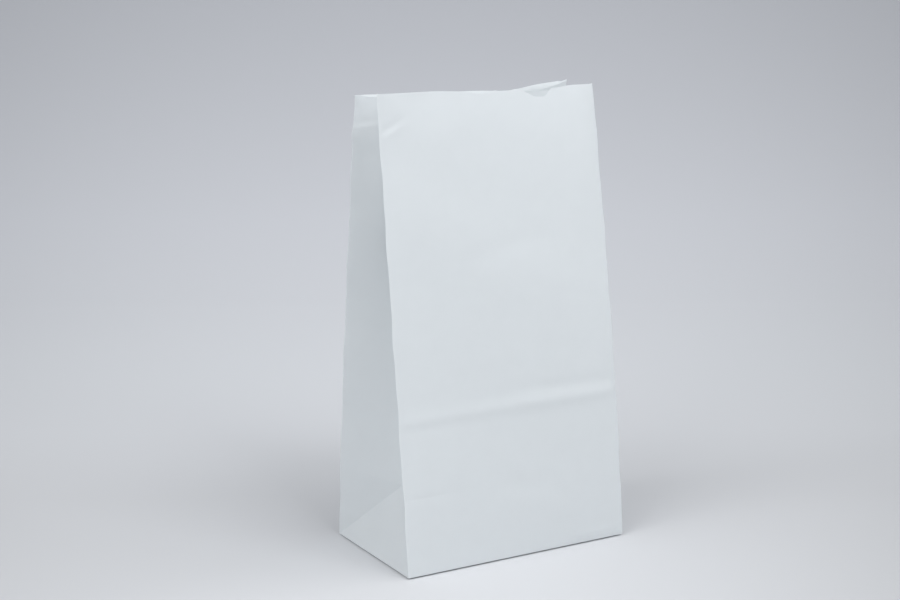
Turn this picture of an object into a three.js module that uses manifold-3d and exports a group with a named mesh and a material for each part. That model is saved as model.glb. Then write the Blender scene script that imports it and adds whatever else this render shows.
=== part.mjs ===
// A plain white paper bag with a flat bottom and gusseted sides, standing with its mouth nearly
// closed. It is one folded and glued sheet, so it is one solid: a creased sheet of paper
// thickness, with the glued flaps of its base and the glued seam up its back.
//
// Millimetres. The origin is the middle of the base on the table, +X runs to the right along the
// front panel, +Y to the back and +Z up. A height "up the paper" is measured along the sheet from
// the fold at the base, so it stays the same however far a panel leans.

import * as THREE from "three";
import { mergeVertices } from "three/addons/utils/BufferGeometryUtils.js";
import Module from "manifold-3d";

// The bag as folded
const WIDTH = 152.4;
const DEPTH = 92.1;
const HEIGHT = 281;
const PAPER = 0.12;
const FLAP_OVERLAP = 19;
const SEAM_WIDTH = 14;
const SEAM_CENTRE = 22;

// How it stands: the mouth's depth at each side, how far its middle lies behind the base's middle,
// and how late each upright edge starts to lean (1 is a straight edge)
const MOUTH_DEPTH_LEFT = 27.7;
const MOUTH_DEPTH_RIGHT = 28.5;
const MOUTH_SHIFT_LEFT = -0.65;
const MOUTH_SHIFT_RIGHT = 5.65;
const FRONT_LEFT_CURVE = 1;
const FRONT_RIGHT_CURVE = 1.3;
const BACK_CURVE = 1.25;
const BACK_BOW = 13.5;
const SIDE_TILT_DEG = 62;
const CREASE_EASE = 30;
const GUSSET_BULGE = 4;
const FRONT_BULGE = 1.2;

// The base's rim, which stands a little clear of the table
const RIM_LIFT = 0.6;
const RIM_ROLL = 4;

// The thumb notch and the shallow dip in the front panel's top edge
const NOTCH_X = 29.8;
const NOTCH_WIDTH = 25.5;
const NOTCH_DEPTH = 5.5;
const NOTCH_LEAN = 0.24;
const DIP_X = -4.5;
const DIP_WIDTH = 24;
const DIP_DEPTH = 2.2;
const DIP_LEAN = 0.02;
const CUT_REACH = 4;

// The line that the folded base pressed into the front panel, and the crease half as high
const PRESS_REACH = 7;
const PRESS_WIDTH = 3.2;
const PRESS_HEIGHT = 0.8;
const CREASE_DEPTH = 0.35;

// The kink across the top of the left side
const KINK_DROP = 22;
const KINK_RUN = 42;
const KINK_RISE = 0.5;
const KINK_WIDTH = 2.6;
const KINK_DEPTH = 0.9;
const KINK_BULGE = 5;

// How fine the sheet is divided
const ROW_STEP = 14;
const KINK_STEP = 3;
const FRONT_STEP = 8;
const BACK_STEP = 12;
const BASE_STEP = 24;
const GUSSET_COLUMNS = 7;

// Places that follow from the sizes above
const HALF_WIDTH = WIDTH / 2;
const HALF_DEPTH = DEPTH / 2;
const FLAP_LENGTH = HALF_DEPTH + FLAP_OVERLAP / 2;
const BASE_Z = 2.5 * PAPER;
const FOLD_Z = BASE_Z + RIM_LIFT;
const KINK_HEIGHT = HEIGHT - KINK_DROP;
const SIDE_TILT = THREE.MathUtils.degToRad(SIDE_TILT_DEG);
const APEX_REACH = HALF_DEPTH * Math.cos(SIDE_TILT);
const APEX_RISE = HALF_DEPTH * Math.sin(SIDE_TILT);

const wasm = await Module();
wasm.setup();

const { lerp, smoothstep } = THREE.MathUtils;

// The two sides, seen from the front, with where their front and back edges meet the mouth
const LEFT = {
  sign: -1,
  frontLean: HALF_DEPTH + MOUTH_SHIFT_LEFT - MOUTH_DEPTH_LEFT / 2,
  backLean: HALF_DEPTH - MOUTH_SHIFT_LEFT - MOUTH_DEPTH_LEFT / 2,
  frontCurve: FRONT_LEFT_CURVE,
};
const RIGHT = {
  sign: 1,
  frontLean: HALF_DEPTH + MOUTH_SHIFT_RIGHT - MOUTH_DEPTH_RIGHT / 2,
  backLean: HALF_DEPTH - MOUTH_SHIFT_RIGHT - MOUTH_DEPTH_RIGHT / 2,
  frontCurve: FRONT_RIGHT_CURVE,
};

// How far the paper has leaned in at a height up the paper, at one side's front and back edges
function frontLean(side, height) {
  return side.frontLean * (height / HEIGHT) ** side.frontCurve;
}

function backLean(side, height) {
  return side.backLean * (height / HEIGHT) ** BACK_CURVE;
}

// The level of a point that is this far up the paper and has leaned this far in
function levelOf(height, lean) {
  return FOLD_Z + Math.sqrt(height * height - lean * lean);
}

// A soft hump, 1 at its middle
function hump(distance, width) {
  return Math.exp(-((distance / width) ** 2));
}

// From 0 at both ends of a row to 1 over most of it, so that a relief dies out at the edges
function edgeFade(across) {
  return Math.min(1, 6 * across, 6 * (1 - across));
}

// What the folded base pressed into the front panel: a groove at the left, a ridge from the middle
// on, and a shallower groove above that ridge at the right. Across runs from 0 to 1.
function pressedLine(across, height) {
  const above = height - DEPTH;
  const groove = hump(above + PRESS_WIDTH, PRESS_WIDTH) * (1 - smoothstep(across, 0.1, 0.45));
  const ridge = hump(above, PRESS_WIDTH) * smoothstep(across, 0.2, 0.5);
  const upper = hump(above - 1.5 * PRESS_WIDTH, PRESS_WIDTH) * smoothstep(across, 0.6, 0.95);
  return PRESS_HEIGHT * (ridge - groove - 0.6 * upper);
}

// The kink's groove on the front panel, a line from the left edge up to the mouth
function frontKink(across, height) {
  const fromEdge = across * WIDTH;
  const above = (height - KINK_HEIGHT) * KINK_RUN - fromEdge * KINK_DROP;
  const fade = 1 - smoothstep(fromEdge, KINK_RUN / 3, KINK_RUN);
  return KINK_DEPTH * hump(above / Math.hypot(KINK_RUN, KINK_DROP), KINK_WIDTH) * fade;
}

// A point on the front panel, from 0 at the left edge to 1 at the right edge
function frontPoint(across, height) {
  const lean = lerp(frontLean(LEFT, height), frontLean(RIGHT, height), across);
  const up = height / HEIGHT;
  const bulge = FRONT_BULGE * Math.sin(Math.PI * across) * Math.sin(Math.PI * up);
  const crease = CREASE_DEPTH * hump(height - HALF_DEPTH, PRESS_WIDTH) * (1 - across);
  const out = bulge + pressedLine(across, height) - crease - frontKink(across, height);
  const y = -HALF_DEPTH + lean - out * edgeFade(across);
  return new THREE.Vector3(lerp(-HALF_WIDTH, HALF_WIDTH, across), y, levelOf(height, lean));
}

// A point on the back panel, which bows in towards the mouth, from 0 at the left to 1 at the right
function backPoint(across, height) {
  const fromMiddle = Math.abs(2 * across - 1);
  const bow = BACK_BOW * (1 - fromMiddle ** 1.8) * (height / HEIGHT) ** 1.5;
  const lean = lerp(backLean(LEFT, height), backLean(RIGHT, height), across) + bow;
  const x = lerp(-HALF_WIDTH, HALF_WIDTH, across);
  return new THREE.Vector3(x, HALF_DEPTH - lean, levelOf(height, lean));
}

// How far in a gusset's middle crease lies where its two halves span the gap between the edges
function gussetReach(side, height) {
  const halfGap = HALF_DEPTH - (frontLean(side, height) + backLean(side, height)) / 2;
  const drop = HALF_DEPTH - APEX_RISE;
  return Math.sqrt(HALF_DEPTH ** 2 - halfGap ** 2 - drop ** 2);
}

// A point on a gusset's middle crease, which starts at the apex of the lower triangle
function creasePoint(side, height) {
  const above = height - HALF_DEPTH;
  const misfit = APEX_REACH - gussetReach(side, HALF_DEPTH);
  const reach = gussetReach(side, height) + misfit * Math.exp(-above / CREASE_EASE);
  const y = (frontLean(side, height) - backLean(side, height)) / 2;
  const rise = Math.sqrt(above ** 2 - (reach - APEX_REACH) ** 2 - y ** 2 * (above / HEIGHT));
  const z = FOLD_Z + APEX_RISE + (above > 0 ? rise : 0);
  return new THREE.Vector3(side.sign * (HALF_WIDTH - reach), y, z);
}

// The inner end of a gusset half's row: on the diagonal crease below the apex, and on the middle
// crease above it
function innerEnd(side, baseCorner, height) {
  const apex = creasePoint(side, HALF_DEPTH);
  if (height >= HALF_DEPTH) return creasePoint(side, height);
  return new THREE.Vector3().lerpVectors(baseCorner, apex, height / HALF_DEPTH);
}

// A point on the front half of a gusset, from 0 at the bag's edge to 1 at the crease
function gussetFront(side, inward, height) {
  const across = (side.sign + 1) / 2;
  const end = innerEnd(side, frontPoint(across, 0), height);
  return frontPoint(across, height).lerp(end, inward);
}

// The same on the back half, which bulges forward near the mouth, on the left most above the kink
function gussetBack(side, inward, height) {
  const across = (side.sign + 1) / 2;
  const end = innerEnd(side, backPoint(across, 0), height);
  const point = backPoint(across, height).lerp(end, inward);
  let forward = GUSSET_BULGE * Math.sin(Math.PI * inward) * (height / HEIGHT) ** 2;
  if (side === LEFT) {
    const above = height - KINK_HEIGHT - KINK_RISE * inward * HALF_DEPTH;
    const sprung = smoothstep(above, -KINK_WIDTH, KINK_WIDTH);
    forward += KINK_BULGE * Math.sin(Math.PI * inward ** 0.8) * sprung;
    forward -= KINK_DEPTH * hump(above, KINK_WIDTH) * edgeFade(inward);
  }
  point.y -= forward;
  return point;
}

// Places from the first to the last of the fixed ones, with even ones put between them
function stations(fixed, step) {
  const sorted = [...fixed].sort((a, b) => a - b);
  const places = [sorted[0]];
  for (const next of sorted.slice(1)) {
    const last = places[places.length - 1];
    const count = Math.max(1, Math.round((next - last) / step));
    for (let i = 1; i <= count; i += 1) places.push(lerp(last, next, i / count));
  }
  return places;
}

const SEAM_START = SEAM_CENTRE - SEAM_WIDTH / 2;
const SEAM_END = SEAM_CENTRE + SEAM_WIDTH / 2;
const rollLines = [-HALF_WIDTH, RIM_ROLL - HALF_WIDTH, HALF_WIDTH - RIM_ROLL, HALF_WIDTH];
const seamLines = [SEAM_START - PAPER, SEAM_START, SEAM_END, SEAM_END + PAPER];
const frontPlaces = stations(rollLines, FRONT_STEP);
const backPlaces = stations([...rollLines, ...seamLines], BACK_STEP);
const basePlaces = stations(rollLines, BASE_STEP);
const sideLines = [-HALF_DEPTH, RIM_ROLL - HALF_DEPTH, HALF_DEPTH - RIM_ROLL, HALF_DEPTH];
const sidePlaces = stations(sideLines, BASE_STEP);
const pressRows = [-1, -0.5, 0, 0.5, 1].map((share) => DEPTH + share * PRESS_REACH);
const heights = [
  ...stations([0, HALF_DEPTH, ...pressRows, KINK_HEIGHT - KINK_STEP], ROW_STEP),
  ...stations([KINK_HEIGHT, HEIGHT], KINK_STEP),
];

// The sheet before it has a thickness: vertices met by more than one face are shared
const sheet = { points: [], layers: [], faces: [], known: new Map() };

// The index of a point. Layers says how many sheets of paper lie on its outside.
function vertexAt(point, layers = 0) {
  const key = point.toArray().map((value) => value.toFixed(3)).join(" ");
  if (!sheet.known.has(key)) {
    sheet.known.set(key, sheet.points.length);
    sheet.points.push(point);
    sheet.layers.push(layers);
  }
  return sheet.known.get(key);
}

// Adds a face, unless it has collapsed where a row runs into a crease
function addFace(a, b, c) {
  if (a !== b && b !== c && c !== a) sheet.faces.push([a, b, c]);
}

// Fills between two rows of { index, at }, which may hold different numbers of points. The face's
// outside is seen with the first row below and the places running to the right.
function stitch(lower, upper) {
  let i = 0;
  let j = 0;
  while (i < lower.length - 1 || j < upper.length - 1) {
    const nextLower = i < lower.length - 1 ? lower[i + 1].at : Infinity;
    const nextUpper = j < upper.length - 1 ? upper[j + 1].at : Infinity;
    if (nextLower <= nextUpper) {
      addFace(lower[i].index, lower[i + 1].index, upper[j].index);
      i += 1;
    } else {
      addFace(lower[i].index, upper[j + 1].index, upper[j].index);
      j += 1;
    }
  }
}

// One row of the sheet right round the bag, from the front's left edge and back to it
function wallRow(height) {
  const halfSteps = stations([0, 1], 1 / GUSSET_COLUMNS);
  const row = [];
  const add = (point, layers) => row.push({ index: vertexAt(point, layers), at: row.length });
  // Above the apex this part of the row is one point on the middle crease
  const addTriangle = (side, direction) => {
    const from = gussetFront(side, 1, height);
    const to = gussetBack(side, 1, height);
    for (const place of sidePlaces) {
      add(new THREE.Vector3().lerpVectors(from, to, 0.5 + (direction * place) / DEPTH));
    }
  };
  for (const place of frontPlaces) add(frontPoint(0.5 + place / WIDTH, height));
  for (const inward of halfSteps) add(gussetFront(RIGHT, inward, height));
  addTriangle(RIGHT, 1);
  for (const inward of [...halfSteps].reverse()) add(gussetBack(RIGHT, inward, height));
  for (const place of [...backPlaces].reverse()) {
    const glued = place >= SEAM_START && place <= SEAM_END;
    add(backPoint(0.5 + place / WIDTH, height), glued ? 1 : 0);
  }
  for (const inward of halfSteps) add(gussetBack(LEFT, inward, height));
  addTriangle(LEFT, -1);
  for (const inward of [...halfSteps].reverse()) add(gussetFront(LEFT, inward, height));
  return row;
}

// One row of the base from left to right, at a place along the depth
function baseRow(place) {
  if (place === sidePlaces[0]) {
    return frontPlaces.map((x) => ({ index: vertexAt(frontPoint(0.5 + x / WIDTH, 0)), at: x }));
  }
  if (place === sidePlaces[sidePlaces.length - 1]) {
    return backPlaces.map((x) => ({ index: vertexAt(backPoint(0.5 + x / WIDTH, 0)), at: x }));
  }
  return basePlaces.map((x) => {
    const z = Math.abs(x) === HALF_WIDTH ? FOLD_Z : BASE_Z;
    return { index: vertexAt(new THREE.Vector3(x, place, z)), at: x };
  });
}

function buildSheet() {
  const walls = heights.map(wallRow);
  for (let i = 1; i < walls.length; i += 1) stitch(walls[i - 1], walls[i]);
  const base = sidePlaces.map(baseRow);
  for (let i = 1; i < base.length; i += 1) stitch(base[i], base[i - 1]);
}

// The move that takes each vertex a unit out from all the faces round it, along their mitre
function mitres() {
  const made = sheet.points.map(() => ({
    rows: new Array(6).fill(0),
    sum: new THREE.Vector3(),
    ring: new THREE.Vector3(),
    count: 0,
  }));
  for (const face of sheet.faces) {
    const corners = face.map((index) => sheet.points[index]);
    const normal = new THREE.Triangle(...corners).getNormal(new THREE.Vector3());
    face.forEach((index, k) => {
      const one = corners[(k + 1) % 3].clone().sub(corners[k]);
      const other = corners[(k + 2) % 3].clone().sub(corners[k]);
      const weight = one.angleTo(other);
      const { x, y, z } = normal;
      [x * x, y * y, z * z, x * y, x * z, y * z].forEach((value, n) => {
        made[index].rows[n] += weight * value;
      });
      made[index].sum.addScaledVector(normal, weight);
      made[index].ring.add(one).add(other);
      made[index].count += weight;
    });
  }
  return made.map(({ rows, sum, ring, count }) => {
    const [xx, yy, zz, xy, xz, yz] = rows.map((value) => value / count);
    const soft = 1e-5;
    const matrix = new THREE.Matrix3().set(xx + soft, xy, xz, xy, yy + soft, yz, xz, yz, zz + soft);
    const move = sum.divideScalar(count).applyMatrix3(matrix.invert());
    return { move, pocket: ring.dot(move) > 0 };
  });
}

// Gives the sheet its thickness: an outside and an inside, joined along the open edge. A sharp
// fold is mitred in full on its hollow side, and bevelled on its other side.
function thickenSheet() {
  const bevel = 2;
  const positions = [];
  const count = sheet.points.length;
  const shifted = (move, sign, isPocket) => {
    const length = move.length();
    const limited = isPocket ? length : Math.min(length, bevel);
    return move.clone().multiplyScalar((sign * limited * PAPER) / 2 / length);
  };
  const moves = mitres();
  moves.forEach(({ move, pocket }, n) => {
    const out = shifted(move, 1 + 2 * sheet.layers[n], pocket);
    positions.push(...sheet.points[n].clone().add(out).toArray());
  });
  moves.forEach(({ move, pocket }, n) => {
    positions.push(...sheet.points[n].clone().add(shifted(move, -1, !pocket)).toArray());
  });
  const edges = new Set(sheet.faces.flatMap(([a, b, c]) => [`${a} ${b}`, `${b} ${c}`, `${c} ${a}`]));
  const index = [];
  for (const [a, b, c] of sheet.faces) index.push(a, b, c, count + c, count + b, count + a);
  for (const edge of edges) {
    const [a, b] = edge.split(" ").map(Number);
    if (!edges.has(`${b} ${a}`)) index.push(b, a, count + a, b, count + a, count + b);
  }
  const geometry = new THREE.BufferGeometry();
  geometry.setAttribute("position", new THREE.Float32BufferAttribute(positions, 3));
  geometry.setIndex(index);
  return geometry;
}

// A solid from a closed geometry
function solidOf(geometry) {
  const bare = geometry.clone();
  bare.deleteAttribute("normal");
  bare.deleteAttribute("uv");
  const merged = mergeVertices(bare, 1e-4);
  const vertProperties = new Float32Array(merged.attributes.position.array);
  const triVerts = new Uint32Array(merged.index.array);
  return new wasm.Manifold(new wasm.Mesh({ numProp: 3, vertProperties, triVerts }));
}

function geometryOf(solid) {
  const mesh = solid.getMesh();
  const geometry = new THREE.BufferGeometry();
  geometry.setAttribute("position", new THREE.BufferAttribute(mesh.vertProperties, 3));
  geometry.setIndex(new THREE.BufferAttribute(mesh.triVerts, 1));
  geometry.computeVertexNormals();
  return geometry;
}

// A flat glued layer of the base, with its outline in the XY plane
function layer(outline, bottom, top) {
  const shape = new THREE.Shape(outline.map(([x, y]) => new THREE.Vector2(x, y)));
  const flat = new THREE.ExtrudeGeometry(shape, { depth: top - bottom, bevelEnabled: false });
  return solidOf(flat.translate(0, 0, bottom));
}

// A long flap of the base, mitred at 45 degrees from both corners. Face is -1 for the one that is
// folded in from the front and 1 for the one from the back.
function longFlap(face, bottom) {
  const outline = [
    [-HALF_WIDTH + RIM_ROLL, RIM_ROLL],
    [HALF_WIDTH - RIM_ROLL, RIM_ROLL],
    [HALF_WIDTH - FLAP_LENGTH, FLAP_LENGTH],
    [-HALF_WIDTH + FLAP_LENGTH, FLAP_LENGTH],
  ].map(([x, inset]) => [x, face * (HALF_DEPTH - inset)]);
  return layer(face < 0 ? outline : outline.reverse(), bottom, BASE_Z);
}

// The end of the tube that is tucked in under the base from one side, seen inside the bag
function endTuck(sign) {
  const near = sign * (HALF_WIDTH - FLAP_LENGTH);
  const far = sign * (HALF_WIDTH - RIM_ROLL);
  const low = Math.min(near, far);
  const high = Math.max(near, far);
  const y = HALF_DEPTH - RIM_ROLL;
  return layer([[low, -y], [high, -y], [high, y], [low, y]], BASE_Z, BASE_Z + 1.5 * PAPER);
}

// What a cut in the front panel's top edge takes away. The cut is deepest at a share of its width
// to the right of its middle, and reaches as far behind the panel as in front of it.
function edgeCut(middle, width, depth, lean) {
  const half = width / 2;
  const deepest = lean * width;
  const above = 2 * CUT_REACH;
  const shape = new THREE.Shape();
  shape.moveTo(-half, 0);
  shape.bezierCurveTo(-half / 2, 0, deepest - half / 2, -depth, deepest, -depth);
  shape.bezierCurveTo(lerp(deepest, half, 0.7), -depth, lerp(deepest, half, 0.8), 0, half, 0);
  shape.lineTo(half, above);
  shape.lineTo(-half, above);
  const top = frontPoint(0.5 + middle / WIDTH, HEIGHT);
  const options = { depth: 2 * CUT_REACH, bevelEnabled: false, curveSegments: 10 };
  const cutter = new THREE.ExtrudeGeometry(shape, options);
  cutter.translate(0, 0, -CUT_REACH);
  cutter.rotateX(Math.PI / 2);
  cutter.translate(top.x, top.y, top.z);
  return solidOf(cutter);
}

buildSheet();
const bag = solidOf(thickenSheet())
  .add(longFlap(-1, 0))
  .add(longFlap(1, PAPER))
  .add(endTuck(-1))
  .add(endTuck(1))
  .subtract(edgeCut(NOTCH_X, NOTCH_WIDTH, NOTCH_DEPTH, NOTCH_LEAN))
  .subtract(edgeCut(DIP_X, DIP_WIDTH, DIP_DEPTH, DIP_LEAN));

const paper = new THREE.MeshStandardMaterial({ color: "#e6ebef", roughness: 0.75, metalness: 0 });
const bagMesh = new THREE.Mesh(geometryOf(bag), paper);
bagMesh.name = "paper_bag";

const group = new THREE.Group();
group.add(bagMesh);

export default group;
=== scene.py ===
"""A plain white paper bag on a pale seamless backdrop."""

import math

import bpy
import numpy as np
from mathutils import Matrix, Vector


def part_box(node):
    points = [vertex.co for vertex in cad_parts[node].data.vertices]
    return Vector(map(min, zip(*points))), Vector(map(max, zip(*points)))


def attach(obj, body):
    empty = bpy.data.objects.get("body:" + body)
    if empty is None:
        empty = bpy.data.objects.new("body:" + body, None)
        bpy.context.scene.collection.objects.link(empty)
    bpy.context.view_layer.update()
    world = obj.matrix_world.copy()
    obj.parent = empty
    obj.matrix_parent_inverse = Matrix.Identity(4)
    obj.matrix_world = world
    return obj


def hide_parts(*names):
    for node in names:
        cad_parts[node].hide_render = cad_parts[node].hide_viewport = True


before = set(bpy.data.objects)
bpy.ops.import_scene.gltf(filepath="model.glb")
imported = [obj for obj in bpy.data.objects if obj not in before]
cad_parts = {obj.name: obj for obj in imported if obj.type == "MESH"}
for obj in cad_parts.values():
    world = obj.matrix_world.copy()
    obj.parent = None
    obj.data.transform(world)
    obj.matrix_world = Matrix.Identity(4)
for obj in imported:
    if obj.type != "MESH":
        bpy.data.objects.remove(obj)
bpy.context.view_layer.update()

# The bag as folded, in millimetres. Its width and depth come from the frame.
MM = 0.001
PAPER = 0.12
node_low, node_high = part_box("paper_bag")
HALF_WIDTH = (node_high[0] - node_low[0]) / 2 / MM - PAPER
HALF_DEPTH = -node_low[1] / MM - PAPER / 2
WIDTH = 2 * HALF_WIDTH
DEPTH = 2 * HALF_DEPTH
HEIGHT = 281.0
FLAP_LENGTH = HALF_DEPTH + 9.5
SEAM_START = 15.0
SEAM_END = 29.0

# How far each upright edge has leaned in at the mouth, and how late it starts to
FRONT_LEFT_LEAN = 31.55
FRONT_RIGHT_LEAN = 37.45
BACK_LEFT_LEAN = 32.85
BACK_RIGHT_LEAN = 26.15
FRONT_LEFT_CURVE = 1.0
FRONT_RIGHT_CURVE = 1.3
BACK_CURVE = 1.25
BACK_BOW = 13.5
SIDE_TILT = math.radians(62)
CREASE_EASE = 30.0
GUSSET_BULGE = 4.0
FRONT_BULGE = 1.2

# The base's rim, a little clear of the table
BASE_Z = 2.5 * PAPER
RIM_LIFT = 0.6
RIM_ROLL = 4.0
FOLD_Z = BASE_Z + RIM_LIFT

# Cuts in the front panel's top edge: where each starts, is at its full depth, and ends
THUMB_NOTCH = {"start": 21.0, "full": 34.5, "leave": 39.0, "end": 45.5, "depth": 4.7}
SHALLOW_DIP = {"start": -16.5, "full": -5.0, "leave": -3.5, "end": 7.5, "depth": 2.0}
CUT_BLEND = 24.0

# The pressed line across the front at the bag's depth, and the crease half as high
PRESS_SHIFT = (-0.6, 1.1)
PRESS_RISE = (0.28, 0.54)
PRESS_WIDTH = (2.9, 4.1)
GROOVE_UNDER = {"depth": 0.2, "below": 5.2, "width": 2.5}
GROOVE_OVER = {"depth": 0.36, "above": (9.0, 6.2), "width": 4.1}
CREASE_DEPTH = 0.22
CREASE_WIDTH = 1.6

# Shallow dents in the front panel, placed from its left edge and its foot
DENTS = (
    {"depth": 0.45, "along": 80, "up": 188, "slope": 0.15, "breadth": 7, "length": 24},
    {"depth": 0.3, "along": 84, "up": 44, "slope": -0.25, "breadth": 6, "length": 18},
)

# The kink across the top of the left side
KINK_HEIGHT = HEIGHT - 22.0
KINK_DROP = 22.0
KINK_RUN = 42.0
KINK_RISE = 0.35
KINK_WIDTH = 1.5
KINK_DEPTH = 0.5
KINK_GROOVE = 0.6
KINK_CORNER = 0.7

# How the left gusset bellies out under the kink, and how far below it that starts
KINK_BULGE = 8.5
KINK_SPRING = 90.0
KINK_BELLY = 8.0
BELLY_BELOW = 28.0
BELLY_WIDTH = 33.0
BELLY_SKEW = 1.25

# How uneven the sheet's cut edge is at the mouth, and how far the back's edge has flared
FRONT_LEFT_RISE = 1.7
FRONT_RIGHT_RISE = 1.4
BACK_LEFT_DROP = 0.7
BACK_MIDDLE_DROP = 1.1
MIDDLE_DROP_PLACE = 22
MIDDLE_DROP_WIDTH = 15
BACK_FLARE = 2.8
FLARE_REACH = 6.0
BACK_ROLL = 1.9
ROLL_REACH = (9, 3)
ROLL_PLACE = 34
ROLL_WIDTH = 14
TORN_TIP = 1.2
TORN_WIDTH = 1.3
TORN_INSET = 1.2

LEFT = {"sign": -1, "front": (FRONT_LEFT_LEAN, FRONT_LEFT_CURVE), "back": BACK_LEFT_LEAN}
RIGHT = {"sign": 1, "front": (FRONT_RIGHT_LEAN, FRONT_RIGHT_CURVE), "back": BACK_RIGHT_LEAN}

# The camera that fits the photograph's view, in millimetres and degrees
CAMERA_PLACE = (-519.06, -876.77, 360.19)
CAMERA_YAW = 29.608
CAMERA_PITCH = 11.586
CAMERA_ROLL = -0.430
CAMERA_LENS = 67.95

# The backdrop's colour, with painted light: its tone from before the bag to behind it, and painted shade
# that darkens it to the sides
BACKDROP_PAINTED_TONES = (
    (0.00, 0.83, (0.700, 0.716, 0.744)),
    (0.14, 0.85, (0.700, 0.716, 0.746)),
    (0.22, 0.93, (0.700, 0.719, 0.752)),
    (0.32, 0.98, (0.700, 0.722, 0.756)),
    (0.45, 1.05, (0.700, 0.720, 0.756)),
    (0.62, 0.97, (0.700, 0.720, 0.766)),
    (1.00, 0.72, (0.700, 0.722, 0.776)),
)
PAINTED_TONE_SPAN = (-0.2, 1.8)
# Painted shade: how the backdrop darkens towards both sides, more to the right, where the lamps' light
# falls off
PAINTED_SIDE_SHADE = 1.9
PAINTED_SHADE_SLANT = 0.25
PAINTED_SHADE_START = 1.02
PAINTED_SHADE_NEAREST = 0.5
PAINTED_SHADE_DARKEST = 0.78

# The paper's two tones, each with its place on the ramp, and how much light passes through it
PAPER_TONES = ((0.3, (0.757, 0.794, 0.821)), (0.7, (0.772, 0.809, 0.835)))
LIGHT_THROUGH = 0.35

# Each softbox's azimuth, elevation, distance, size and level, and the level of the surroundings
SOFTBOXES = {
    "front_light": (10, 45, 1.4, 0.8, 1.5),
    "left_light": (-72, 38, 1.5, 1.2, 1.8),
    "right_light": (65, 42, 2.0, 1.4, 0.86),
}
WORLD_LEVEL = 0.5


def smooth(value, low, high):
    """0 below low, 1 above high and a soft step between."""
    share = np.clip((np.asarray(value, float) - low) / (high - low), 0, 1)
    return share * share * (3 - 2 * share)


def hump(distance, width):
    """A bell that is 1 at no distance."""
    return np.exp(-((np.asarray(distance, float) / width) ** 2))


def edge_fade(across, reach=0.04):
    """From 0 at both ends of a row to 1 past the given share of it."""
    return np.clip(np.minimum(across, 1 - across) / reach, 0, 1)


def mix(low, high, share):
    return low + (high - low) * share


def stack(x, y, z):
    """Points from three arrays that may still need to be spread over each other."""
    return np.stack(np.broadcast_arrays(x, y, z), axis=-1).astype(float)


def front_lean(side, height):
    lean, curve = side["front"]
    return lean * (height / HEIGHT) ** curve


def back_lean(side, height):
    return side["back"] * (height / HEIGHT) ** BACK_CURVE


def level_of(height, lean):
    """The level of a point this far up the paper that has leaned this far in."""
    return FOLD_Z + np.sqrt(np.maximum(height * height - lean * lean, 0))


def cut_depth(x, cut):
    down = smooth(x, cut["start"], cut["full"]) * (1 - smooth(x, cut["leave"], cut["end"]))
    return cut["depth"] * down


def front_rise(x):
    """How much higher than square the front panel is cut at its two corners."""
    return FRONT_LEFT_RISE * (1 - smooth(x, -40, 0)) + FRONT_RIGHT_RISE * smooth(x, 44, 62)


def back_rise(x):
    """The same for the back panel, which also has a small torn tip at its right corner."""
    tip = TORN_TIP * hump(x - HALF_WIDTH + TORN_INSET, TORN_WIDTH)
    left = BACK_LEFT_DROP * (1 - smooth(x, -HALF_WIDTH, -20))
    middle = BACK_MIDDLE_DROP * hump(x - MIDDLE_DROP_PLACE, MIDDLE_DROP_WIDTH)
    return tip - left - middle


def edge_wobble(height, start):
    """How unevenly an upright edge runs, as creased paper does."""
    wave = 0.22 * np.sin(0.105 * height + start) + 0.16 * np.sin(0.23 * height + 2 * start + 1)
    return wave * smooth(height, 0, 20)


def pressed_line(across, height):
    """What the folded base pressed in: a ridge, a groove under it at the left and over it at the right."""
    above = height - DEPTH - mix(*PRESS_SHIFT, across)
    ridge_width = mix(*PRESS_WIDTH, smooth(across, 0.1, 0.4))
    ridge = mix(*PRESS_RISE, smooth(across, 0.05, 0.5)) * hump(above, ridge_width)
    under = GROOVE_UNDER["depth"] * hump(above + GROOVE_UNDER["below"], GROOVE_UNDER["width"])
    over_place = mix(*GROOVE_OVER["above"], smooth(across, 0.5, 1.0))
    over = GROOVE_OVER["depth"] * hump(above - over_place, GROOVE_OVER["width"])
    return ridge - under * (1 - smooth(across, 0.1, 0.35)) - over * smooth(across, 0.45, 0.65)


def front_kink(across, height):
    """The short crease that runs up from the kink on to the front panel."""
    from_edge = across * WIDTH
    above = ((height - KINK_HEIGHT) * KINK_RUN - from_edge * KINK_DROP) / math.hypot(KINK_RUN, KINK_DROP)
    groove = hump(above, KINK_WIDTH) - KINK_GROOVE * hump(above + 2.4 * KINK_WIDTH, KINK_WIDTH)
    return KINK_DEPTH * groove * (1 - smooth(from_edge, KINK_RUN / 8, 0.6 * KINK_RUN))


def dent(x, height, mark):
    """A shallow dent that runs across the panel at a slope."""
    off_line = height - mark["up"] - mark["slope"] * (x - mark["along"])
    return mark["depth"] * hump(off_line, mark["breadth"]) * hump(x - mark["along"], mark["length"])


def front_waves(across, height):
    """The soft unevenness of a panel that has been folded flat and opened."""
    x = across * WIDTH
    slow = 0.5 * np.sin(0.038 * x + 0.021 * height + 0.4) * np.sin(0.027 * height - 0.011 * x)
    slanted = height - 190 + 0.55 * (x - 60)
    fold = 0.9 * hump(slanted, 26) * smooth(x, -8, 16) * (1 - smooth(x, 110, 150))
    set_back = smooth(height, HEIGHT - 25, HEIGHT - 3) * hump(x - 35, 16)
    lip = 0.35 * hump(height - 4.5, 3) * smooth(x, 95, 125)
    waves = slow * smooth(height, 0, 30) + fold + lip
    for mark in DENTS:
        waves = waves - dent(x, height, mark)
    return waves - set_back


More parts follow.
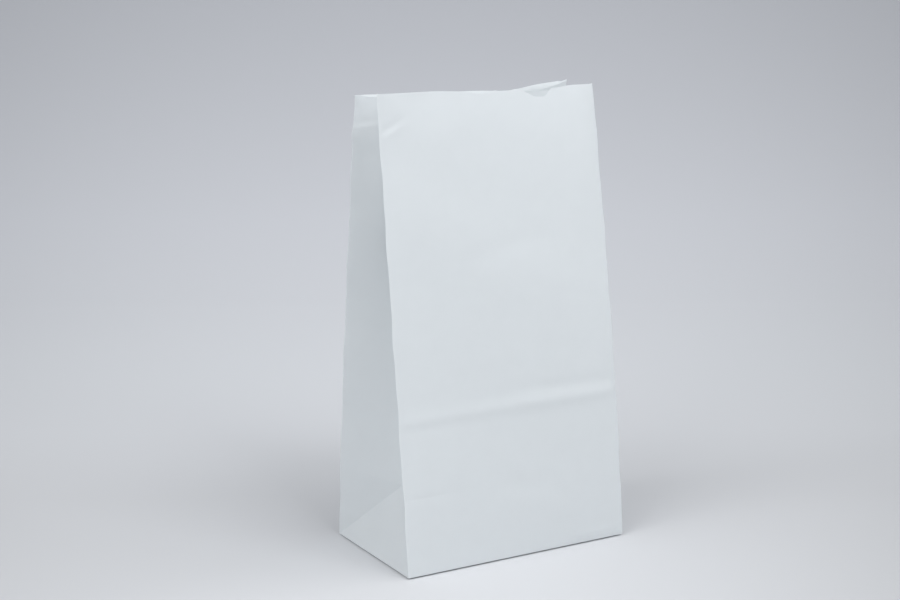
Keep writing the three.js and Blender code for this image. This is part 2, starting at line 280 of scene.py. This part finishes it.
def front_point(across, height):
    x = mix(-HALF_WIDTH, HALF_WIDTH, across)
    cut = cut_depth(x, THUMB_NOTCH) + cut_depth(x, SHALLOW_DIP) - front_rise(x)
    height = height - cut * smooth(height, HEIGHT - CUT_BLEND, HEIGHT)
    lean = mix(front_lean(LEFT, height), front_lean(RIGHT, height), across)
    bulge = FRONT_BULGE * np.sin(np.pi * across) * np.sin(np.pi * height / HEIGHT)
    crease = CREASE_DEPTH * hump(height - HALF_DEPTH, CREASE_WIDTH) * (1 - smooth(across, 0, 0.4))
    relief = bulge + pressed_line(across, height) - crease - front_kink(across, height)
    out = (relief + front_waves(across, height)) * edge_fade(across) * smooth(height, 0, 6)
    x = x + edge_wobble(height, 0.0) * (2 * across - 1)
    return stack(x, -HALF_DEPTH + lean - out, level_of(height, lean))


def back_point(across, height):
    from_middle = np.abs(2 * across - 1)
    bow = BACK_BOW * (1 - from_middle**1.8) * (height / HEIGHT) ** 1.5
    x = mix(-HALF_WIDTH, HALF_WIDTH, across)
    height = height + back_rise(x) * smooth(height, HEIGHT - CUT_BLEND, HEIGHT)
    flare = BACK_FLARE * np.clip((height - HEIGHT) / FLARE_REACH + 1, 0, None) ** 2
    rolled = smooth(height, *(HEIGHT - reach for reach in ROLL_REACH))
    roll = BACK_ROLL * rolled * hump(x - ROLL_PLACE, ROLL_WIDTH)
    lean = mix(back_lean(LEFT, height), back_lean(RIGHT, height), across)
    lean = lean + bow + (roll - flare) * edge_fade(across)
    corner = KINK_CORNER * hump(height - KINK_HEIGHT + 3, 6) * (1 - smooth(across, 0, 0.1))
    x = x + edge_wobble(height, 2.0) * (2 * across - 1) - corner
    wave = 0.5 * np.sin(0.034 * x + 0.017 * height) * np.sin(0.031 * height - 0.9)
    out = wave * edge_fade(across) * smooth(height, 0, 30)
    return stack(x, HALF_DEPTH - lean + out, level_of(height, lean))


def gusset_reach(side, height):
    half_gap = HALF_DEPTH - (front_lean(side, height) + back_lean(side, height)) / 2
    drop = HALF_DEPTH * (1 - math.sin(SIDE_TILT))
    return np.sqrt(HALF_DEPTH**2 - half_gap**2 - drop**2)


def crease_point(side, height):
    """The gusset's middle crease, from the lower triangle's apex to the mouth."""
    apex_reach = HALF_DEPTH * math.cos(SIDE_TILT)
    above = np.maximum(height - HALF_DEPTH, 0)
    height = np.maximum(height, HALF_DEPTH)
    misfit = apex_reach - gusset_reach(side, HALF_DEPTH)
    reach = gusset_reach(side, height) + misfit * np.exp(-above / CREASE_EASE)
    y = (front_lean(side, height) - back_lean(side, height)) / 2
    rise = np.sqrt(np.maximum(above**2 - (reach - apex_reach) ** 2 - y**2 * above / HEIGHT, 0))
    z = FOLD_Z + HALF_DEPTH * math.sin(SIDE_TILT) + rise
    return stack(side["sign"] * (HALF_WIDTH - reach), y, z)


def inner_end(side, face, height):
    """The inner end of a gusset half's row, on the diagonal crease or on the middle crease."""
    corner = np.array([side["sign"] * HALF_WIDTH, face * HALF_DEPTH, FOLD_Z])
    apex = crease_point(side, np.full_like(height, HALF_DEPTH))
    share = np.clip(height / HALF_DEPTH, 0, 1)[..., None]
    return np.where(share < 1, corner + (apex - corner) * share, crease_point(side, height))


def gusset_front(side, inward, height):
    edge = front_point(np.full_like(height, (side["sign"] + 1) / 2), height)
    return mix(edge, inner_end(side, -1, height), inward[..., None])


def sprung_share(above):
    """How far the left gusset has sprung forward: gradually from below, in full from the kink up."""
    low, high = -KINK_SPRING, KINK_SPRING / 8
    return smooth(np.minimum(above, 0), low, high) / smooth(0, low, high)


def side_kink(above):
    """The ridge across the left gusset at the kink, with a groove over it."""
    groove = KINK_GROOVE * hump(above - 2.5 * KINK_WIDTH, KINK_WIDTH)
    return 1.2 * KINK_DEPTH * (hump(above - 0.5, 0.8 * KINK_WIDTH) - groove)


def gusset_back(side, inward, height):
    edge = back_point(np.full_like(height, (side["sign"] + 1) / 2), height)
    points = mix(edge, inner_end(side, 1, height), inward[..., None])
    forward = GUSSET_BULGE * np.sin(np.pi * inward) * (height / HEIGHT) ** 2
    wave = 0.5 * np.sin(0.05 * height + 3 * inward) * np.sin(0.021 * height)
    forward = forward + wave * np.sin(np.pi * inward)
    if side is LEFT:
        above = height - KINK_HEIGHT - KINK_RISE * inward * HALF_DEPTH
        belly = KINK_BELLY * hump(np.minimum(above, 0) + BELLY_BELOW, BELLY_WIDTH)
        arch = np.sin(np.pi * inward**BELLY_SKEW) ** 2
        forward = forward + (KINK_BULGE * sprung_share(above) + belly) * arch
        forward = forward - 0.1 * np.maximum(above, 0) * np.sin(np.pi * inward)
        forward = forward + side_kink(above) * edge_fade(inward, 0.1)
        room = 0.9 * (1 - inward) * (2 * HALF_DEPTH - front_lean(side, height) - back_lean(side, height))
        forward = room * np.tanh(forward / np.maximum(room, 0.01))
    points[..., 1] -= forward
    return points


def stations(fixed, step):
    """Places from the first to the last of the fixed ones, with even ones put between them."""
    fixed = sorted(fixed)
    places = [fixed[0]]
    for low, high in zip(fixed, fixed[1:]):
        count = max(1, round((high - low) / step))
        places += [mix(low, high, (i + 1) / count) for i in range(count)]
    return np.array(places)


# Rows and columns lie close together at the folds, which are then rounded
FOLD_STEPS = (0.3, 0.8)


def with_folds(low, high, others=()):
    near = [low + step for step in FOLD_STEPS] + [high - step for step in FOLD_STEPS]
    return [low, high, *near, *others]


HALF_COLUMNS = stations(with_folds(0, HALF_DEPTH), 2.6) / HALF_DEPTH
FRONT_COLUMNS = (stations(with_folds(-HALF_WIDTH, HALF_WIDTH), 2.0) + HALF_WIDTH) / WIDTH
seam_lines = (SEAM_START - PAPER, SEAM_START, SEAM_END, SEAM_END + PAPER)
BACK_PLACES = stations(with_folds(-HALF_WIDTH, HALF_WIDTH, seam_lines), 3.0)
SIDE_PLACES = stations(with_folds(-HALF_DEPTH, HALF_DEPTH), 4.0)
around_apex = [HALF_DEPTH + sign * step for sign in (-1, 1) for step in FOLD_STEPS]
above_kink = np.arange(KINK_HEIGHT - 5, HEIGHT, 1.0)
ROWS = stations([0, *FOLD_STEPS, HALF_DEPTH, *around_apex, *above_kink, HEIGHT], 2.0)


def wall_grid():
    """The whole wall as one grid, row by row, and how many extra layers lie on each column."""
    height = ROWS[:, None]

    def spread(function, columns, *side):
        across, up = np.broadcast_arrays(np.asarray(columns, float)[None, :], height)
        return function(*side, across, up)

    def triangle(side, direction):
        share = 0.5 + direction * SIDE_PLACES[None, :, None] / DEPTH
        ends = [spread(part, [1.0], side) for part in (gusset_front, gusset_back)]
        return mix(ends[0], ends[1], share)

    back = BACK_PLACES[::-1]
    blocks = [
        spread(front_point, FRONT_COLUMNS),
        spread(gusset_front, HALF_COLUMNS, RIGHT),
        triangle(RIGHT, 1),
        spread(gusset_back, HALF_COLUMNS[::-1], RIGHT),
        spread(back_point, (back + HALF_WIDTH) / WIDTH),
        spread(gusset_back, HALF_COLUMNS, LEFT),
        triangle(LEFT, -1),
        spread(gusset_front, HALF_COLUMNS[::-1], LEFT),
    ]
    layers = [np.zeros(block.shape[1]) for block in blocks]
    layers[4] = ((back >= SEAM_START) & (back <= SEAM_END)).astype(float)
    return np.concatenate(blocks, axis=1), np.concatenate(layers)


class Sheet:
    """Points and faces of the paper before it has a thickness."""

    def __init__(self):
        self.points = []
        self.layers = []
        self.faces = []
        self.known = {}

    def vertex(self, point, layers=0.0):
        key = tuple(np.round(point, 3) + 0.0)
        if key not in self.known:
            self.known[key] = len(self.points)
            self.points.append(point)
            self.layers.append(layers)
        return self.known[key]

    def face(self, *corners):
        kept = [c for i, c in enumerate(corners) if c != corners[i - 1]]
        if len(set(kept)) == len(kept) > 2:
            self.faces.append(kept)

    def grid(self, rows):
        for low, high in zip(rows, rows[1:]):
            for i in range(len(low) - 1):
                self.face(low[i], low[i + 1], high[i + 1], high[i])

    def stitch(self, low, high, low_at, high_at):
        """Fills between two rows that may hold different numbers of points."""
        i = j = 0
        while i < len(low) - 1 or j < len(high) - 1:
            next_low = low_at[i + 1] if i < len(low) - 1 else math.inf
            next_high = high_at[j + 1] if j < len(high) - 1 else math.inf
            if next_low <= next_high:
                self.face(low[i], low[i + 1], high[j])
                i += 1
            else:
                self.face(low[i], high[j + 1], high[j])
                j += 1


def base_level(x, y):
    """The base lies flat, and its rim rolls up to the folds."""
    inset = min(HALF_WIDTH - abs(x), HALF_DEPTH - abs(y))
    return BASE_Z + RIM_LIFT * (1 - float(smooth(inset, 0, RIM_ROLL)))


def build_sheet():
    sheet = Sheet()
    points, layers = wall_grid()
    rows = [[sheet.vertex(p, k) for p, k in zip(row, layers)] for row in points]
    sheet.grid(rows)
    front = rows[0][: len(FRONT_COLUMNS)]
    front_x = FRONT_COLUMNS * WIDTH - HALF_WIDTH
    inner_x = stations([-HALF_WIDTH, RIM_ROLL - HALF_WIDTH, HALF_WIDTH - RIM_ROLL, HALF_WIDTH], 4.0)
    back = [sheet.vertex(back_point((x + HALF_WIDTH) / WIDTH, 0.0)) for x in BACK_PLACES]
    lines = [(front, front_x)]
    for y in SIDE_PLACES[1:-1]:
        level = [FOLD_Z if abs(x) == HALF_WIDTH else base_level(x, y) for x in inner_x]
        lines.append(([sheet.vertex((x, y, z)) for x, z in zip(inner_x, level)], inner_x))
    lines.append((back, BACK_PLACES))
    for (low, low_at), (high, high_at) in zip(lines[1:], lines):
        sheet.stitch(low, high, low_at, high_at)
    return sheet


def corner_normals(points, faces):
    """The mean normal at each point, from the faces round it."""
    normals = np.zeros_like(points)
    for size in (3, 4):
        some = np.array([f for f in faces if len(f) == size])
        if not len(some):
            continue
        one = points[some[:, 2]] - points[some[:, 0]]
        other = points[some[:, -1]] - points[some[:, 1]]
        cross = np.cross(one, other)
        cross /= np.maximum(np.linalg.norm(cross, axis=1, keepdims=True), 1e-9)
        for k in range(size):
            np.add.at(normals, some[:, k], cross)
    return normals / np.maximum(np.linalg.norm(normals, axis=1, keepdims=True), 1e-9)


def rounded(points, faces, reach=1.0, passes=2):
    """Rounds the folds: points whose neighbours are all close move towards their mean."""
    pairs = np.array([(f[i - 1], f[i]) for f in faces for i in range(len(f))])
    edge_count = np.zeros(len(points))
    np.add.at(edge_count, pairs.ravel(), 1)
    made = points.copy()
    for _ in range(passes):
        total = np.zeros_like(made)
        weight = np.zeros(len(made))
        gap = np.linalg.norm(made[pairs[:, 0]] - made[pairs[:, 1]], axis=1)
        pull = np.exp(-((gap / reach) ** 2))
        for a, b in ((0, 1), (1, 0)):
            np.add.at(total, pairs[:, a], made[pairs[:, b]] * pull[:, None])
            np.add.at(weight, pairs[:, a], pull)
        keep = weight[:, None] < 1e-3
        mean = total / np.maximum(weight[:, None], 1e-3)
        made = np.where(keep, made, made + 0.5 * (mean - made) * np.minimum(weight[:, None], 1))
    return made


def thick_mesh(name, sheet):
    """Gives the sheet its two faces and joins them along the open edge."""
    points = np.array(sheet.points)
    points = rounded(points, sheet.faces)
    points[:, 2] = np.maximum(points[:, 2], BASE_Z)
    normals = corner_normals(points, sheet.faces)
    half = PAPER / 2
    outside = points + normals * (half + PAPER * np.array(sheet.layers))[:, None]
    inside = points - normals * half
    count = len(points)
    edges = {(f[i - 1], f[i]) for f in sheet.faces for i in range(len(f))}
    faces = list(sheet.faces) + [[count + i for i in reversed(f)] for f in sheet.faces]
    faces += [[b, a, count + a, count + b] for a, b in edges if (b, a) not in edges]
    mesh = bpy.data.meshes.new(name)
    mesh.from_pydata((np.concatenate([outside, inside]) * MM).tolist(), [], faces)
    return mesh


def add_layer(points, faces, outline, bottom, top):
    """Adds a flat glued layer of the base as a closed slab."""
    start = len(points)
    count = len(outline)
    points += [(x * MM, y * MM, z * MM) for z in (bottom, top) for x, y in outline]
    faces.append([start + i for i in reversed(range(count))])
    faces.append([start + count + i for i in range(count)])
    for i in range(count):
        j = (i + 1) % count
        faces.append([start + i, start + j, start + count + j, start + count + i])


def base_layers():
    """The two long flaps under the base and the end tucks inside it."""
    points, faces = [], []
    wide = HALF_WIDTH - RIM_ROLL
    narrow = HALF_WIDTH - FLAP_LENGTH
    for face, bottom in ((-1, 0.0), (1, PAPER)):
        near = face * (HALF_DEPTH - RIM_ROLL)
        far = face * (HALF_DEPTH - FLAP_LENGTH)
        outline = [(-wide, near), (wide, near), (narrow, far), (-narrow, far)]
        add_layer(points, faces, outline if face < 0 else outline[::-1], bottom, BASE_Z)
    y = HALF_DEPTH - RIM_ROLL
    for low, high in ((-wide, -narrow), (narrow, wide)):
        outline = [(low, -y), (high, -y), (high, y), (low, y)]
        add_layer(points, faces, outline, BASE_Z, BASE_Z + 1.5 * PAPER)
    mesh = bpy.data.meshes.new("bag_base_layers")
    mesh.from_pydata(points, [], faces)
    return mesh


def add_object(name, mesh, material):
    mesh.validate()
    mesh.update()
    made = bpy.data.objects.new(name, mesh)
    bpy.context.scene.collection.objects.link(made)
    mesh.materials.append(material)
    return made


def node(tree, kind, **values):
    made = tree.nodes.new(kind)
    for key, value in values.items():
        if key in made.inputs:
            made.inputs[key].default_value = value
        else:
            setattr(made, key, value)
    return made


def paper_material():
    """Smooth bleached kraft paper: faintly cloudy, with fine fibres and a soft gloss."""
    material = bpy.data.materials.new("white_paper")
    material.use_nodes = True
    tree = material.node_tree
    shader = tree.nodes["Principled BSDF"]
    place = node(tree, "ShaderNodeTexCoord").outputs["Object"]
    cloud = node(tree, "ShaderNodeTexNoise", Scale=90.0, Detail=4.0, Roughness=0.6)
    fibre = node(tree, "ShaderNodeTexNoise", Scale=1400.0, Detail=6.0, Roughness=0.7)
    grain = node(tree, "ShaderNodeMapping")
    grain.inputs["Scale"].default_value = (1.0, 1.0, 0.35)
    tree.links.new(place, cloud.inputs["Vector"])
    tree.links.new(place, grain.inputs["Vector"])
    tree.links.new(grain.outputs["Vector"], fibre.inputs["Vector"])
    tint = node(tree, "ShaderNodeValToRGB")
    for element, (place_on_ramp, colour) in zip(tint.color_ramp.elements, PAPER_TONES):
        element.position = place_on_ramp
        element.color = (*colour, 1)
    tree.links.new(cloud.outputs["Fac"], tint.inputs["Fac"])
    tree.links.new(tint.outputs["Color"], shader.inputs["Base Color"])
    rough = node(tree, "ShaderNodeMapRange")
    rough.inputs["To Min"].default_value = 0.55
    rough.inputs["To Max"].default_value = 0.75
    tree.links.new(fibre.outputs["Fac"], rough.inputs["Value"])
    tree.links.new(rough.outputs["Result"], shader.inputs["Roughness"])
    bump = node(tree, "ShaderNodeBump", Strength=0.12, Distance=0.0001)
    tree.links.new(fibre.outputs["Fac"], bump.inputs["Height"])
    tree.links.new(bump.outputs["Normal"], shader.inputs["Normal"])
    shader.inputs["Specular IOR Level"].default_value = 0.35
    through = node(tree, "ShaderNodeBsdfTranslucent", Color=(0.94, 0.95, 0.95, 1))
    blend = node(tree, "ShaderNodeMixShader", Fac=LIGHT_THROUGH)
    tree.links.new(shader.outputs["BSDF"], blend.inputs[1])
    tree.links.new(through.outputs["BSDF"], blend.inputs[2])
    tree.links.new(blend.outputs["Shader"], tree.nodes["Material Output"].inputs["Surface"])
    return material


def backdrop_material(ahead, side):
    """Pale studio paper with painted light and shade: toned down away from the bag and towards both sides,
    where the lamps' light falls off.
    """
    material = bpy.data.materials.new("pale_backdrop_painted_light")
    material.use_nodes = True
    tree = material.node_tree
    shader = tree.nodes["Principled BSDF"]
    shader.inputs["Roughness"].default_value = 0.9
    shader.inputs["Specular IOR Level"].default_value = 0.1
    place = node(tree, "ShaderNodeNewGeometry").outputs["Position"]

    def measure(direction):
        made = node(tree, "ShaderNodeVectorMath", operation="DOT_PRODUCT")
        made.inputs[1].default_value = direction
        tree.links.new(place, made.inputs[0])
        return made.outputs["Value"]

    def reckon(operation, *values):
        made = node(tree, "ShaderNodeMath", operation=operation)
        for slot, value in zip(made.inputs, values):
            if isinstance(value, float):
                slot.default_value = value
            else:
                tree.links.new(value, slot)
        return made.outputs["Value"]

    # Painted light: the tone ramp runs along the sweep. It is lightest a little behind the bag, and darker
    # towards the camera and up the curve, where the lamps' light falls off.
    spread = node(tree, "ShaderNodeMapRange")
    for end, limit in zip(("From Min", "From Max"), PAINTED_TONE_SPAN):
        spread.inputs[end].default_value = limit
    tree.links.new(measure((ahead[0], ahead[1], 1.0)), spread.inputs["Value"])
    ramp = node(tree, "ShaderNodeValToRGB")
    while len(ramp.color_ramp.elements) < len(BACKDROP_PAINTED_TONES):
        ramp.color_ramp.elements.new(0.5)
    for element, (place_on_ramp, tone, colour) in zip(ramp.color_ramp.elements, BACKDROP_PAINTED_TONES):
        element.position = place_on_ramp
        element.color = (*(tone * share for share in colour), 1)
    tree.links.new(spread.outputs["Result"], ramp.inputs["Fac"])
    # Painted shade: the colour darkens towards both sides, and more to the right, as the lamps' light
    # falls off
    away = reckon("ADD", measure((ahead[0], ahead[1], 0.0)), PAINTED_SHADE_START)
    away = reckon("MAXIMUM", away, PAINTED_SHADE_NEAREST)
    aside = reckon("DIVIDE", measure((side[0], side[1], 0.0)), away)
    painted_slant = reckon("ADD", reckon("MULTIPLY", aside, PAINTED_SIDE_SHADE), PAINTED_SHADE_SLANT)
    painted_side_shade = reckon("SUBTRACT", 1.0, reckon("MULTIPLY", aside, painted_slant))
    painted_side_shade = reckon("MAXIMUM", painted_side_shade, PAINTED_SHADE_DARKEST)
    painted_colour = node(tree, "ShaderNodeVectorMath", operation="SCALE")
    tree.links.new(ramp.outputs["Color"], painted_colour.inputs[0])
    tree.links.new(painted_side_shade, painted_colour.inputs["Scale"])
    tree.links.new(painted_colour.outputs["Vector"], shader.inputs["Base Color"])
    return material


def add_backdrop(ahead, side):
    """A seamless sweep: flat under the bag, curving up behind it as the camera sees it."""
    near, flat, radius, top, half = -4.0, 0.7, 0.9, 3.0, 4.0
    profile = [(near, 0.0)]
    profile += [
        (flat + radius * math.sin(turn), radius - radius * math.cos(turn))
        for turn in np.linspace(0, math.pi / 2, 33)
    ]
    profile.append((flat + radius, top))
    points = [
        (ahead[0] * y + side[0] * x, ahead[1] * y + side[1] * x, z)
        for y, z in profile
        for x in (-half, half)
    ]
    faces = [[2 * i, 2 * i + 1, 2 * i + 3, 2 * i + 2] for i in range(len(profile) - 1)]
    mesh = bpy.data.meshes.new("backdrop")
    mesh.from_pydata(points, [], faces)
    backdrop = add_object("backdrop", mesh, backdrop_material(ahead, side))
    for polygon in mesh.polygons:
        polygon.use_smooth = True


def add_camera():
    """Adds the camera, and returns the directions ahead of it and to its right on the table."""
    yaw, pitch, roll = (math.radians(a) for a in (CAMERA_YAW, CAMERA_PITCH, CAMERA_ROLL))
    ahead = Vector((math.sin(yaw) * math.cos(pitch), math.cos(yaw) * math.cos(pitch), -math.sin(pitch)))
    side = Vector((math.cos(yaw), -math.sin(yaw), 0))
    up = side.cross(ahead)
    right = math.cos(roll) * side + math.sin(roll) * up
    top = math.cos(roll) * up - math.sin(roll) * side
    data = bpy.data.cameras.new("camera")
    data.lens = CAMERA_LENS
    data.sensor_width = 36
    data.clip_end = 50
    camera = bpy.data.objects.new("camera", data)
    turn = Matrix((right, top, -ahead)).transposed().to_4x4()
    camera.matrix_world = Matrix.Translation(Vector(CAMERA_PLACE) * MM) @ turn
    bpy.context.scene.collection.objects.link(camera)
    bpy.context.scene.camera = camera
    return Vector((math.sin(yaw), math.cos(yaw))), Vector((side[0], side[1]))


def add_softbox(name, azimuth, elevation, distance, size, level):
    """A square soft light aimed at the bag. Azimuth turns to the right from straight ahead of it."""
    turn, rise = math.radians(azimuth), math.radians(elevation)
    out = Vector((math.sin(turn) * math.cos(rise), -math.cos(turn) * math.cos(rise), math.sin(rise)))
    data = bpy.data.lights.new(name, "AREA")
    data.size = size
    data.energy = level * math.pi * distance**2
    box = bpy.data.objects.new(name, data)
    box.location = out * distance + Vector((0, 0, HEIGHT / 2 * MM))
    box.rotation_euler = (-out).to_track_quat("-Z", "Y").to_euler()
    bpy.context.scene.collection.objects.link(box)


def add_world(level):
    """Even light from all round, for the room that the photo was taken in."""
    world = bpy.data.worlds.new("studio")
    world.use_nodes = True
    background = world.node_tree.nodes["Background"]
    background.inputs["Color"].default_value = (0.98, 0.99, 1.0, 1)
    background.inputs["Strength"].default_value = level
    bpy.context.scene.world = world


ahead, side = add_camera()

paper = paper_material()
bag = add_object("bag_sheet", thick_mesh("bag_sheet", build_sheet()), paper)
bag.data.polygons.foreach_set("use_smooth", [True] * len(bag.data.polygons))
bag.data.set_sharp_from_angle(angle=math.radians(40))
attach(bag, "root")
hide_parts("paper_bag")

glued = add_object("bag_base_layers", base_layers(), paper)
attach(glued, "root")

add_backdrop(ahead, side)
add_world(WORLD_LEVEL)
for name, settings in SOFTBOXES.items():
    add_softbox(name, *settings)

bpy.context.scene.view_settings.view_transform = "Standard"
